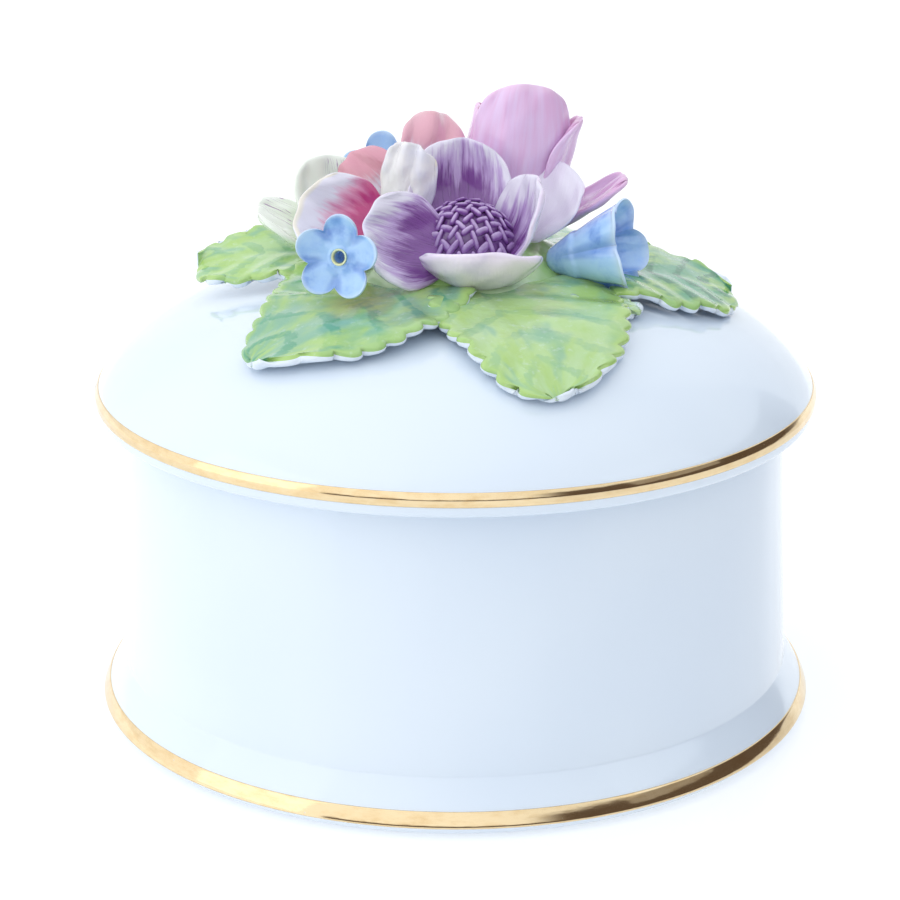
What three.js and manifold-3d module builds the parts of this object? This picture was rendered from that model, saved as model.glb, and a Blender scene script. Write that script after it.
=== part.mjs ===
// A round porcelain trinket box whose domed lid carries a posy of hand-built flowers.
// Millimetres, +Z up. The origin is the centre of the circle the foot stands on;
// the front of the posy looks towards -Y.

import * as THREE from 'three';
import { mergeVertices } from 'three/addons/utils/BufferGeometryUtils.js';
import Module from 'manifold-3d';

const wasm = await Module();
wasm.setup();

// ---------------------------------------------------------------- sizes

const TURNS = 48; // flats round the box and lid
const FLOWER_TURNS = 20; // and round the small turned pieces of the posy
const LOBES = 5; // on a forget-me-not
const CUT_GAP = 0.4; // left between pieces that would otherwise meet in the posy
const TRIM_TOLERANCE = 0.03; // finest detail kept on a trimmed piece
const GLAZE_FILLET = 0.5; // softening of rims and corners

// Box: a straight-sided pot on a flared foot.
const BOX_HEIGHT = 36.6;
const BOX_RADIUS = 38.4; // outside, at the mouth
const BOX_SPREAD = 1.2; // how much wider it is at the neck of the foot
const BOX_WALL = 2.8;
const FLOOR_TOP = 4.6; // inside floor above the table
const FOOT_FLARE = 4.0; // how far the foot stands out beyond the mouth
const FOOT_RADIUS = BOX_RADIUS + FOOT_FLARE;
const FOOT_LIP = 1.4; // height of the foot's widest circle
const FOOT_NECK = 6.2; // height where the flare meets the wall
const FOOT_RING = 3.6; // width of the ring it stands on
const FOOT_RECESS = 1.3; // hollow under the floor, inside the ring
const FLARE_POWER = 1.25;

// Lid: a low dome with a thick gilded edge and a locating flange below.
const LID_SEAT_GAP = 0.1;
const LID_OVERHANG = 3.6; // beyond the mouth of the box
const LID_RADIUS = BOX_RADIUS + LID_OVERHANG;
const LID_LIP_Z = 1.3; // lower edge of the gilding above the seat
const LID_EDGE_Z = 2.7; // where the dome springs from
const LID_SPRING = LID_RADIUS - 0.3; // radius there
const DOME_RISE = 11.6;
const DOME_FLATNESS = 3.85;
const DOME_SHOULDER = 1.185;
const LID_WALL = 2.8;
const FLANGE_PLAY = 0.7; // between the flange and the mouth of the box
const FLANGE_WALL = 2.4;
const FLANGE_DEPTH = 4.4;

// Gilding: burnished gold bands over the glaze.
const GILT_THICKNESS = 0.15;
const GILT_GAP = 0.03;
const FOOT_GILT_TOP = 3.1;

// Posy: pieces are placed from the top of the dome.
const PETAL_THICKNESS = 0.75;
const PETAL_STEPS = [6, 5]; // facets along and across
const TIP_EASE = 0.5;
const LEAF_THICKNESS = 1.0;
const LEAF_TEETH = 7; // along each margin
const TOOTH_DEPTH = 0.09; // share of the leaf's half width
const LEAF_STEPS = [2 * LEAF_TEETH, 4];
const MOUND_REACH = [15.5, 13.4]; // half its width and half its depth
const MOUND_HEIGHT = 5.6;

const PORCELAIN = 0xe9f2fa;
const GOLD = 0xd9b26a;

// ------------------------------------------------------------- helpers

const rad = THREE.MathUtils.degToRad;

function point(x, y, z) {
  return new THREE.Vector3(x, y, z);
}

// One material per piece.
function glaze(color, roughness = 0.12, metalness = 0) {
  return new THREE.MeshStandardMaterial({ color, roughness, metalness });
}

// A closed ring or bowl turned round +Z from [radius, height] pairs.
function turned(profile, turns = TURNS) {
  const points = profile.map(([radius, height]) => new THREE.Vector2(radius, height));
  return new THREE.LatheGeometry(points, turns).rotateX(Math.PI / 2);
}

// Shares of a sheet's length and half width that a millimetre of `grow` adds.
const GROW_ALONG = 0.08;
const GROW_ACROSS = 0.16;

// A curved sheet of even thickness: surface(s, t) for s in 0..1 along and t in -1..1 across.
// `grow` widens it on every side, for the space a neighbour has to leave round it, and
// `ease` packs the rows closer towards the tip.
function sheet(surface, [along, across], thickness, grow = 0, ease = 0) {
  const geometry = new THREE.BoxGeometry(1, 2, 1, along, across, 1);
  const position = geometry.getAttribute('position');
  const step = 1e-3;
  for (let i = 0; i < position.count; i += 1) {
    const x = position.getX(i) + 0.5;
    const s = x * (1 + ease - ease * x) * (1 + 2 * GROW_ALONG * grow) - GROW_ALONG * grow;
    const t = position.getY(i) * (1 + GROW_ACROSS * grow);
    const side = Math.sign(position.getZ(i)) * (thickness / 2 + grow);
    const here = surface(s, t);
    const ds = surface(s + step, t).sub(surface(s - step, t));
    const dt = surface(s, t + step).sub(surface(s, t - step));
    const normal = ds.cross(dt).normalize();
    here.addScaledVector(normal, side);
    position.setXYZ(i, here.x, here.y, here.z);
  }
  return geometry;
}

// A petal rises from `base` along `heading`, from the first angle of `rise` to the second.
// `wrap` is the radius it is curled to across its width.
function petal(spec) {
  const { base, heading, rise, length, halfWidth, wrap } = spec;
  const { roll = 0, neck = 0.5, tip = 0.5 } = spec;
  const widest = 0.55;
  const out = point(Math.cos(rad(heading)), Math.sin(rad(heading)), 0);
  const across = point(-out.y, out.x, 0).applyAxisAngle(out, rad(roll));
  const up = out.clone().cross(across);
  const start = rad(rise[0]);
  const turn = rad(rise[1] - rise[0]);
  function width(s) {
    if (s < widest) return neck + (1 - neck) * Math.sin((Math.PI / 2) * Math.max(s, 0) / widest);
    const k = (Math.min(s, 1) - widest) / (1 - widest);
    return Math.sqrt(1 - k * k * (1 - tip * tip));
  }
  return (s, t) => {
    const reach = s * (1 - 0.18 * t * t * s);
    const angle = start + turn * reach;
    const run = (length / turn) * (Math.sin(angle) - Math.sin(start));
    const climb = (length / turn) * (Math.cos(start) - Math.cos(angle));
    const curl = (halfWidth * width(s) * t) / wrap;
    const lift = wrap * (1 - Math.cos(curl));
    return point(...base)
      .addScaledVector(out, run - Math.sin(angle) * lift)
      .addScaledVector(up, climb + Math.cos(angle) * lift)
      .addScaledVector(across, wrap * Math.sin(curl));
  };
}

// How far the dome has fallen at a radius, measured down from its top.
function domeDrop(radius) {
  const k = Math.min(radius / LID_SPRING, 1);
  return DOME_RISE * (1 - (1 - k ** DOME_FLATNESS) ** (1 / DOME_SHOULDER));
}

// A leaf laid on the dome from one plan point to another, its tip and margin lifted clear.
function leaf({ from, to, halfWidth, lift = [0.2, 0.2], fold = 0, tilt = 0 }) {
  const start = new THREE.Vector2(...from);
  const run = new THREE.Vector2(...to).sub(start);
  const side = new THREE.Vector2(-run.y, run.x).normalize();
  return (s, t) => {
    const body = Math.sin(Math.PI * (0.12 + 0.8 * THREE.MathUtils.clamp(s, 0, 1)) ** 0.9) ** 0.62;
    const tooth = 1 - TOOTH_DEPTH * Math.abs(2 * ((Math.abs(s) * LEAF_TEETH) % 1) - 1);
    const place = start.clone().addScaledVector(run, s);
    place.addScaledVector(side, halfWidth * body * tooth * t);
    const height = lift[0] + (lift[1] - lift[0]) * s + fold * t * t + tilt * t;
    const clear = CUT_GAP + LEAF_THICKNESS / 2 + Math.max(height, 0);
    return point(place.x, place.y, clear - domeDrop(place.length()));
  };
}

// A five-lobed trumpet flower, mouth towards `facing`; `full` fills the throat.
function trumpet({ mouth, facing, radius, depth, throat, flare = 0.35, spin = 0 }, grow = 0, full = false) {
  const wall = PETAL_THICKNESS;
  const dish = radius * flare;
  const inside = full ? [[0, dish + grow]] : [[0, -throat * 1.6], [throat * 0.7, -throat * 1.4], [throat, 0]];
  const profile = [
    ...inside,
    [radius * 0.62, full ? dish + grow : dish * 0.35],
    [radius, dish + grow],
    [radius + grow, dish - wall * 0.6],
    [radius * 0.66, dish * 0.35 - wall - grow],
    [throat + wall + grow, -wall - throat - grow],
    [throat * 0.8 + grow, -depth * 0.8 - grow],
    [0, -depth - grow],
  ];
  const points = profile.reverse().map(([x, y]) => new THREE.Vector2(x, y));
  const geometry = new THREE.LatheGeometry(points, 5 * LOBES);
  const position = geometry.getAttribute('position');
  for (let i = 0; i < position.count; i += 1) {
    const x = position.getX(i);
    const z = position.getZ(i);
    const outward = Math.hypot(x, z) / radius;
    const round = Math.abs(Math.cos((LOBES / 2) * (Math.atan2(z, x) + rad(spin)))) ** 0.6;
    const lobe = 1 - 0.3 * outward ** 3 * (1 - round);
    position.setX(i, x * lobe);
    position.setZ(i, z * lobe);
  }
  const turn = new THREE.Quaternion().setFromUnitVectors(point(0, 1, 0), point(...facing).normalize());
  return geometry.applyQuaternion(turn).translate(...mouth);
}

// A rounded button or bud turned about its own axis, which leans along `axis`.
function bud({ foot, axis, profile }, grow = 0) {
  const last = profile.length - 1;
  const points = profile.map(([radius, height], i) => {
    const ends = i === 0 ? -grow : i === last ? grow : 0;
    return new THREE.Vector2(i % last === 0 ? 0 : radius + grow, height + ends);
  });
  const turn = new THREE.Quaternion().setFromUnitVectors(point(0, 1, 0), point(...axis).normalize());
  return new THREE.LatheGeometry(points, FLOWER_TURNS).applyQuaternion(turn).translate(...foot);
}

function toSolid(geometry) {
  const bare = geometry.clone();
  bare.deleteAttribute('normal');
  bare.deleteAttribute('uv');
  const merged = mergeVertices(bare, 1e-3);
  return new wasm.Manifold(new wasm.Mesh({
    numProp: 3,
    vertProperties: merged.getAttribute('position').array,
    triVerts: new Uint32Array(merged.index.array),
  }));
}

function toGeometry(solid) {
  const mesh = solid.getMesh();
  const geometry = new THREE.BufferGeometry();
  geometry.setAttribute('position', new THREE.BufferAttribute(mesh.vertProperties, 3));
  geometry.setIndex(new THREE.BufferAttribute(mesh.triVerts, 1));
  return geometry;
}

// The biggest piece left after taking every neighbour's space away.
function trimmed(geometry, spaces) {
  let solid = toSolid(geometry);
  for (const space of spaces) solid = solid.subtract(space);
  const pieces = solid.asOriginal().simplify(TRIM_TOLERANCE).decompose();
  pieces.sort((a, b) => b.volume() - a.volume());
  return toGeometry(pieces[0]);
}

function named(name, geometry, material) {
  const mesh = new THREE.Mesh(geometry, material);
  mesh.name = name;
  return mesh;
}

// ---------------------------------------------------------------- box

const object = new THREE.Group();
const boxGroup = new THREE.Group();
object.add(boxGroup);

// Radius of the outside of the foot's flare at a height between lip and neck.
const neckRadius = BOX_RADIUS + BOX_SPREAD;
function flareRadius(height) {
  const k = (height - FOOT_LIP) / (FOOT_NECK - FOOT_LIP);
  return neckRadius + (FOOT_RADIUS - neckRadius) * (1 - k ** FLARE_POWER);
}

const GILT_STEPS = 2;
const FLARE_STEPS = 3;
const footGilt = [];
for (let i = 0; i <= GILT_STEPS; i += 1) {
  const height = FOOT_LIP + ((FOOT_GILT_TOP - FOOT_LIP) * i) / GILT_STEPS;
  footGilt.push([flareRadius(height), height]);
}
const flare = [];
for (let i = 1; i <= FLARE_STEPS; i += 1) {
  const height = FOOT_GILT_TOP + ((FOOT_NECK - FOOT_GILT_TOP) * i) / FLARE_STEPS;
  flare.push([flareRadius(height), height]);
}

const mouthRadius = BOX_RADIUS - BOX_WALL;
boxGroup.add(named('box_body', turned([
  [0, FOOT_RECESS],
  [FOOT_RADIUS - FOOT_RING - FOOT_RECESS, FOOT_RECESS],
  [FOOT_RADIUS - FOOT_RING, 0],
  [FOOT_RADIUS - FOOT_LIP, 0],
  [FOOT_RADIUS - GLAZE_FILLET / 2, FOOT_LIP / 2],
  ...footGilt,
  ...flare,
  [BOX_RADIUS, BOX_HEIGHT - GLAZE_FILLET],
  [BOX_RADIUS - GLAZE_FILLET, BOX_HEIGHT],
  [mouthRadius + GLAZE_FILLET, BOX_HEIGHT],
  [mouthRadius, BOX_HEIGHT - GLAZE_FILLET],
  [mouthRadius, FLOOR_TOP + 2],
  [mouthRadius - 2, FLOOR_TOP],
  [0, FLOOR_TOP],
]), glaze(PORCELAIN)));

// A skin of even thickness just outside a stretch of turned profile.
function giltBand(profile) {
  const normals = profile.map((_, i) => {
    const before = profile[Math.max(i - 1, 0)];
    const after = profile[Math.min(i + 1, profile.length - 1)];
    return new THREE.Vector2(after[1] - before[1], before[0] - after[0]).normalize();
  });
  function offset(distance) {
    return profile.map(([radius, height], i) => [
      radius + normals[i].x * distance,
      height + normals[i].y * distance,
    ]);
  }
  const outer = offset(GILT_GAP + GILT_THICKNESS);
  const inner = offset(GILT_GAP).reverse();
  return turned([...outer, ...inner, outer[0]]);
}

boxGroup.add(named('foot_gilt_band', giltBand(footGilt), glaze(GOLD, 0.18, 1)));

// ---------------------------------------------------------------- lid

const lidGroup = new THREE.Group();
lidGroup.position.z = BOX_HEIGHT + LID_SEAT_GAP;
object.add(lidGroup);

const domeTop = LID_EDGE_Z + DOME_RISE;
const DOME_STEPS = [1, 0.997, 0.985, 0.96, 0.92, 0.86, 0.78, 0.68, 0.54, 0.36, 0.18];
const domeOutside = DOME_STEPS.map((k) => [LID_SPRING * k, domeTop - domeDrop(LID_SPRING * k)]);
const flangeRadius = mouthRadius - FLANGE_PLAY;
const flangeInside = flangeRadius - FLANGE_WALL;
const UNDER_DOME = [0.3, 0.55, 0.8, 1];
const domeInside = UNDER_DOME.map((k) => [
  flangeInside * k,
  domeTop - LID_WALL - domeDrop(flangeInside * k),
]);
const lidGilt = [
  [LID_RADIUS, LID_LIP_Z],
  [LID_RADIUS + 0.02, (LID_LIP_Z + LID_EDGE_Z) / 2],
  domeOutside[0],
];

lidGroup.add(named('lid_shell', turned([
  [0, domeTop - LID_WALL],
  ...domeInside,
  [flangeInside, -FLANGE_DEPTH],
  [flangeRadius - GLAZE_FILLET, -FLANGE_DEPTH],
  [flangeRadius, GLAZE_FILLET - FLANGE_DEPTH],
  [flangeRadius, 0],
  [LID_RADIUS - 2 * GLAZE_FILLET - 0.3, 0],
  [LID_RADIUS - GLAZE_FILLET / 2, GLAZE_FILLET],
  ...lidGilt,
  ...domeOutside.slice(1),
  [0, domeTop],
]), glaze(PORCELAIN)));

lidGroup.add(named('lid_gilt_band', giltBand(lidGilt), glaze(GOLD, 0.18, 1)));

// --------------------------------------------------------------- posy

const posy = new THREE.Group();
posy.position.z = domeTop;
lidGroup.add(posy);

// Spaces already taken in the posy: every later piece is trimmed to clear them.
const taken = [];

function place(name, geometry, space, material) {
  const mesh = named(name, trimmed(geometry, taken), material);
  posy.add(mesh);
  taken.push(toSolid(space).add(toSolid(mesh.geometry)));
}

function placePetal(name, spec, color) {
  const surface = petal(spec);
  place(
    name,
    sheet(surface, PETAL_STEPS, PETAL_THICKNESS, 0, TIP_EASE),
    sheet(surface, PETAL_STEPS, PETAL_THICKNESS, CUT_GAP, TIP_EASE),
    glaze(color),
  );
}

// Anemone, low at the front: a purple boss of stamens in a bowl of five broad petals.
const anemoneBoss = {
  foot: [1.8, -6.0, 4.6],
  axis: [0.02, -0.42, 0.9],
  profile: [[0, 0], [3.8, 0.2], [4.9, 1.8], [4.7, 3.4], [3.4, 4.6], [1.7, 5.2], [0, 5.3]],
};
place('anemone_boss', bud(anemoneBoss), bud(anemoneBoss, CUT_GAP), glaze(0x7d4f94, 0.3));

const ANEMONE = {
  anemone_petal_front: {
    base: [2.8, -9.4, 2.2], heading: -90, rise: [-8, 88], length: 7.8, halfWidth: 7.4, wrap: 9, tip: 0.75,
  },
  anemone_petal_left: {
    base: [-1.2, -8.4, 5.2], heading: 170, rise: [20, 54], length: 10.6, halfWidth: 5.9, wrap: 14, roll: -52,
  },
  anemone_petal_right: {
    base: [5.0, -6.6, 3.6], heading: 24, rise: [38, 96], length: 11.2, halfWidth: 5.0, wrap: 7,
  },
  anemone_petal_back: {
    base: [1.2, -2.0, 5.8], heading: 95, rise: [54, 92], length: 11.0, halfWidth: 6.2, wrap: 10,
  },
  anemone_petal_back_right: {
    base: [6.6, -1.4, 5.0], heading: 46, rise: [36, 78], length: 12.0, halfWidth: 6.2, wrap: 11,
  },
};
for (const [name, spec] of Object.entries(ANEMONE)) placePetal(name, spec, 0xc3a9dc);

// Forget-me-nots: small blue trumpets moulded in one piece each.
const FORGET_ME_NOTS = {
  forget_me_not_front: {
    mouth: [-13.5, -15.4, 7.3], facing: [-0.3, -0.92, 0.24], radius: 4.8, depth: 7.5, throat: 1.2, spin: 36,
  },
  forget_me_not_right: {
    mouth: [18.0, -5.6, 6.2], facing: [0.93, -0.3, 0.18], radius: 5.2, depth: 8, throat: 1.6, flare: 0.5,
  },
  forget_me_not_back: {
    mouth: [-9.2, 10.2, 10.6], facing: [-0.2, -0.62, 0.76], radius: 4.9, depth: 6, throat: 1.2, spin: 18,
  },
};
for (const [name, spec] of Object.entries(FORGET_ME_NOTS)) {
  place(name, trumpet(spec), trumpet(spec, CUT_GAP, true), glaze(0x9dc3f2));
}

// Rosebud, the tallest flower: petals wrapped round a closed core.
const roseCore = {
  foot: [6.8, 9.6, 6.5],
  axis: [0.06, 0.02, 1],
  profile: [[0, 0], [2.6, 0.6], [3.9, 3], [4.2, 6.5], [3.8, 10], [2.4, 12.8], [0, 13.8]],
};
place('rose_core', bud(roseCore), bud(roseCore, CUT_GAP), glaze(0xe7b7d6));

const ROSE = {
  rose_petal_front: {
    base: [6.6, 4.4, 5.5], heading: -84, rise: [72, 108], length: 16.2, halfWidth: 7.4, wrap: 6.4, tip: 0.6,
  },
  rose_petal_left: {
    base: [1.4, 9.4, 5.5], heading: 172, rise: [88, 108], length: 15.0, halfWidth: 4.2, wrap: 6, tip: 0.4,
  },
  rose_petal_right: {
    base: [12.0, 9.8, 6.0], heading: 10, rise: [80, 90], length: 12, halfWidth: 3.6, wrap: 6, tip: 0.3,
  },
  rose_petal_back: {
    base: [7.2, 14.6, 5.5], heading: 88, rise: [88, 104], length: 13.6, halfWidth: 3.8, wrap: 6.4,
  },
  rose_petal_low: {
    base: [10.4, 3.6, 5.0], heading: 2, rise: [20, 44], length: 11.2, halfWidth: 3.6, wrap: 9, tip: 0.3,
  },
};
for (const [name, spec] of Object.entries(ROSE)) placePetal(name, spec, 0xe9b4dc);

// Blush flower, left of the anemone: white ruffled petals flushed with rose at the throat.
const BLUSH = {
  blush_petal_left: {
    base: [-8.4, -5.4, 5.4], heading: 150, rise: [24, 60], length: 10.4, halfWidth: 5.8, wrap: 10, roll: -46,
  },
  blush_petal_inner: {
    base: [-6.6, -2.6, 6.4], heading: -126, rise: [84, 100], length: 10.4, halfWidth: 4.6, wrap: 5.5,
  },
  blush_petal_top: {
    base: [-3.4, 2.4, 6.8], heading: 94, rise: [66, 96], length: 13.4, halfWidth: 4.2, wrap: 8, tip: 0.7,
  },
  blush_petal_back: {
    base: [-6.6, 3.8, 5.0], heading: 130, rise: [50, 74], length: 10.0, halfWidth: 4.4, wrap: 9,
  },
};
for (const [name, spec] of Object.entries(BLUSH)) placePetal(name, spec, 0xf0dbe6);

// Primrose, far left: pale petals pencilled with fine mauve lines.
const PRIMROSE = {
  primrose_petal_top: {
    base: [-13.4, 4.6, 4.6], heading: 132, rise: [44, 84], length: 9.4, halfWidth: 4.3, wrap: 9,
  },
  primrose_petal_left: {
    base: [-14.4, 2.2, 3.4], heading: 176, rise: [16, 46], length: 9.8, halfWidth: 4.2, wrap: 8,
    roll: -16, tip: 0.25,
  },
  primrose_petal_back: {
    base: [-12.0, 8.2, 4.6], heading: 88, rise: [35, 65], length: 8.4, halfWidth: 3.8, wrap: 9,
  },
};
for (const [name, spec] of Object.entries(PRIMROSE)) placePetal(name, spec, 0xeff1e2);

// Mound of slip that the flowers are bedded in.
const moundAt = [-0.5, 0, 0];
function mound(grow) {
  const rise = MOUND_HEIGHT + grow;
  const section = [[0, 0], [1, 0], [0.96, 0.3], [0.84, 0.6], [0.6, 0.86], [0.3, 0.97], [0, 1]];
  return turned(section.map(([radius, height]) => [radius, height * rise]), FLOWER_TURNS)
    .scale(MOUND_REACH[0] + grow, MOUND_REACH[1] + grow, 1)
    .translate(moundAt[0], moundAt[1], CUT_GAP - grow);
}
place('posy_mound', mound(0), mound(CUT_GAP), glaze(0xb7d8a0));

// Leaves laid on the dome before the mound went down.
const LEAVES = {
  leaf_front_right: { from: [2.5, -9], to: [12.6, -32.4], halfWidth: 10.4, lift: [0.6, 0.3], fold: 0.4 },
  leaf_front_left: { from: [-4, -7], to: [-20.2, -23.8], halfWidth: 10.8, lift: [0.8, 0.3], fold: 0.4 },
  leaf_right: { from: [13, -4.6], to: [31.2, 0.8], halfWidth: 8.8, lift: [1.4, 0.6], fold: 0.3, tilt: 0.8 },
  leaf_left: { from: [-12, 1.5], to: [-29.4, 1.6], halfWidth: 6.2, lift: [1.6, 2.6], fold: 0.3, tilt: -1.5 },
  leaf_right_small: { from: [14.4, -9.2], to: [21.6, -12.6], halfWidth: 2.4, lift: [0.4, 0.6] },
  leaf_back_left: { from: [-6, 10], to: [-18, 26], halfWidth: 8, lift: [0.8, 0.6], fold: 0.4 },
  leaf_back_right: { from: [9, 9], to: [22, 23], halfWidth: 8, lift: [0.8, 0.6], fold: 0.4 },
};
for (const [name, spec] of Object.entries(LEAVES)) {
  const surface = leaf(spec);
  place(
    name,
    sheet(surface, LEAF_STEPS, LEAF_THICKNESS),
    sheet(surface, LEAF_STEPS, LEAF_THICKNESS, CUT_GAP),
    glaze(0xa9d488),
  );
}

export default object;
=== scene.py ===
"""A round porcelain trinket box with a posy of painted porcelain flowers on its lid.

Every surface is worked out with numpy in millimetres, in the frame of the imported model, and put
into its mesh in metres.
"""

import bpy
import numpy as np
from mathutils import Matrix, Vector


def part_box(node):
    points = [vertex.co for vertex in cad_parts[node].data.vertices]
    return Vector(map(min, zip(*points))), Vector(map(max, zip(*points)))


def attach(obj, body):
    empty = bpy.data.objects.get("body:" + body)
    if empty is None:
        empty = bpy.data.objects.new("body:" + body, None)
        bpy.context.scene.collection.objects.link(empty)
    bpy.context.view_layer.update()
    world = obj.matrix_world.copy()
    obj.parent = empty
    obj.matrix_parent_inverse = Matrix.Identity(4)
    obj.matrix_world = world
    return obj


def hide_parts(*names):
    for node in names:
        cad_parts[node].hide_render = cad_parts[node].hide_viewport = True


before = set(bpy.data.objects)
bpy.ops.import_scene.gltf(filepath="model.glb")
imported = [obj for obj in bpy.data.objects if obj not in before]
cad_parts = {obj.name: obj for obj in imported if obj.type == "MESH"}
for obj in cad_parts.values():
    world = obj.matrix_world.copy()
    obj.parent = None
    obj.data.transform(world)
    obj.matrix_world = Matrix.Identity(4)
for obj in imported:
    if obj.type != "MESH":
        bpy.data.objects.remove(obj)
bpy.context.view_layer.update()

# ---------------------------------------------------------------------------------- box body
# The pot: bone china slip-cast in one piece, with a straight, slightly spreading wall, a flared
# foot and a rounded mouth. It is covered all over in a clear glossy glaze, wiped off the ring
# that it stands on.

MM = 0.001
BOX_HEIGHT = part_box("box_body")[1].z / MM
FOOT_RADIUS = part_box("box_body")[1].x / MM
FOOT_FLARE = 4.0
BOX_SPREAD = 1.2
BOX_RADIUS = FOOT_RADIUS - FOOT_FLARE
NECK_RADIUS = BOX_RADIUS + BOX_SPREAD
BOX_WALL = 2.8
FLOOR_TOP = 4.6
FOOT_LIP = 1.4
FOOT_NECK = 6.2
FOOT_RING = 3.6
FOOT_RECESS = 1.3
FLARE_POWER = 1.25
TURN_STEPS = 256


def add_mesh(name, points, faces):
    """A mesh object at the origin from points in millimetres and an array of quads or triangles."""
    mesh = bpy.data.meshes.new(name)
    mesh.from_pydata((np.asarray(points) * MM).tolist(), [], [list(f) for f in faces])
    mesh.polygons.foreach_set("use_smooth", np.full(len(mesh.polygons), True))
    mesh.update()
    piece = bpy.data.objects.new(name, mesh)
    bpy.context.scene.collection.objects.link(piece)
    return piece


def points_of(piece):
    """The piece's points in millimetres."""
    return np.array([v.co for v in piece.data.vertices]) / MM


def move_points(piece, points):
    """Gives the piece's points new places in millimetres."""
    piece.data.vertices.foreach_set("co", (points * MM).astype(np.float32).ravel())
    piece.data.update()


def store(piece, name, values):
    """Keeps one number per point on the piece, for its paint to follow."""
    attribute = piece.data.attributes.new(name, "FLOAT", "POINT")
    attribute.data.foreach_set("value", np.asarray(values, np.float32).ravel())


def rounded(corners, radius, steps=6):
    """The corner points with each inner corner replaced by an arc-like bend.

    A bend runs between the points `radius` before and after its corner, as the parabola
    (1-u)^2 a + 2u(1-u) corner + u^2 b.
    """
    corners = np.asarray(corners, float)
    out = [corners[0]]
    u = np.linspace(0, 1, steps)[:, None]
    for before, corner, after in zip(corners, corners[1:], corners[2:]):
        back, ahead = before - corner, after - corner
        reach = min(radius, 0.45 * np.hypot(*back), 0.45 * np.hypot(*ahead))
        a = corner + back / np.hypot(*back) * reach
        b = corner + ahead / np.hypot(*ahead) * reach
        out.extend((1 - u) ** 2 * a + 2 * u * (1 - u) * corner + u**2 * b)
    out.append(corners[-1])
    return np.array(out)


def turned(name, profile, closed=False, steps=TURN_STEPS):
    """Turns [radius, height] pairs round the Z axis: (r cos a, r sin a, z).

    An open profile starts and ends on the axis, where the ring is one point. A closed profile
    comes back to its own first point.
    """
    profile = np.asarray(profile, float)
    angle = np.linspace(0, 2 * np.pi, steps, endpoint=False)
    rings = profile if closed else profile[1:-1]
    radius, height = rings[:, :1], rings[:, 1:]
    x, y = radius * np.cos(angle), radius * np.sin(angle)
    points = np.stack([x, y, np.broadcast_to(height, x.shape)], -1).reshape(-1, 3)
    index = np.arange(len(points)).reshape(len(rings), steps)
    rows = np.concatenate([index, index[:1]]) if closed else index
    rows = np.concatenate([rows, rows[:, :1]], 1)
    quads = np.stack([rows[:-1, :-1], rows[:-1, 1:], rows[1:, 1:], rows[1:, :-1]], -1).reshape(-1, 4)
    faces = quads.tolist()
    if not closed:
        first, last = len(points), len(points) + 1
        points = np.concatenate([points, [[0, 0, profile[0, 1]], [0, 0, profile[-1, 1]]]])
        around = np.concatenate([index[0], index[0, :1]])
        faces += [[first, b, a] for a, b in zip(around, around[1:])]
        around = np.concatenate([index[-1], index[-1, :1]])
        faces += [[last, a, b] for a, b in zip(around, around[1:])]
    return add_mesh(name, points, faces)


def new_material(name):
    """A material with one Principled shader, and its node tree and shader."""
    material = bpy.data.materials.new(name)
    material.use_nodes = True
    tree = material.node_tree
    return material, tree, tree.nodes["Principled BSDF"]


def node(tree, kind, settings=None, **sockets):
    """Adds a node. A socket is set by value, or linked when it is given another node's output."""
    made = tree.nodes.new("ShaderNode" + kind)
    for key, value in (settings or {}).items():
        setattr(made, key, value)
    for key, value in sockets.items():
        socket = made.inputs[int(key[1:])] if key[1:].isdigit() else made.inputs[key]
        if isinstance(value, bpy.types.NodeSocket):
            tree.links.new(value, socket)
        else:
            socket.default_value = value
    return made


def calc(tree, operation, a, b=0.0):
    """One arithmetic step."""
    return node(tree, "Math", {"operation": operation}, _0=a, _1=b).outputs[0]


def between(tree, value, low, high):
    """0 below low, 1 above high, with a smooth step between; low may be above high."""
    settings = {"interpolation_type": "SMOOTHSTEP"}
    if low > high:
        rising = node(tree, "MapRange", settings, _0=value, _1=high, _2=low).outputs[0]
        return calc(tree, "SUBTRACT", 1.0, rising)
    return node(tree, "MapRange", settings, _0=value, _1=low, _2=high).outputs[0]


def tint(tree, share, first, second):
    """The first colour turning into the second as share goes from 0 to 1."""
    made = node(tree, "Mix", {"data_type": "RGBA"}, _0=share)
    for socket, value in ((made.inputs[6], first), (made.inputs[7], second)):
        if isinstance(value, bpy.types.NodeSocket):
            tree.links.new(value, socket)
        else:
            socket.default_value = (*value, 1)
    return made.outputs[2]


def cloud(tree, vector, scale, detail=3.0, roughness=0.5, stretch=(1, 1, 1)):
    """Soft noise from 0 to 1 at a place, drawn out along the axes by stretch."""
    place = node(tree, "Mapping", None, Vector=vector, Scale=stretch).outputs[0]
    made = node(tree, "TexNoise", None, Vector=place, Scale=scale, Detail=detail, Roughness=roughness)
    return made.outputs["Fac"]


def raised(tree, shader, height, distance, strength=1.0):
    """Gives the shader relief from a height of 0 to 1, `distance` metres deep."""
    bump = node(tree, "Bump", None, Height=height, Distance=distance, Strength=strength)
    tree.links.new(bump.outputs[0], shader.inputs["Normal"])


def glaze_over(shader, roughness=0.09, coat=0.6):
    """The clear glass skin over every painted or white surface."""
    shader.inputs["Roughness"].default_value = roughness
    shader.inputs["IOR"].default_value = 1.5
    shader.inputs["Coat Weight"].default_value = coat
    shader.inputs["Coat Roughness"].default_value = 0.03
    shader.inputs["Coat IOR"].default_value = 1.5


CHINA_WHITE = (0.765, 0.855, 0.955)
CHINA_SHADE = (0.71, 0.81, 0.935)
SPECK_BROWN = (0.30, 0.24, 0.20)


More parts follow.
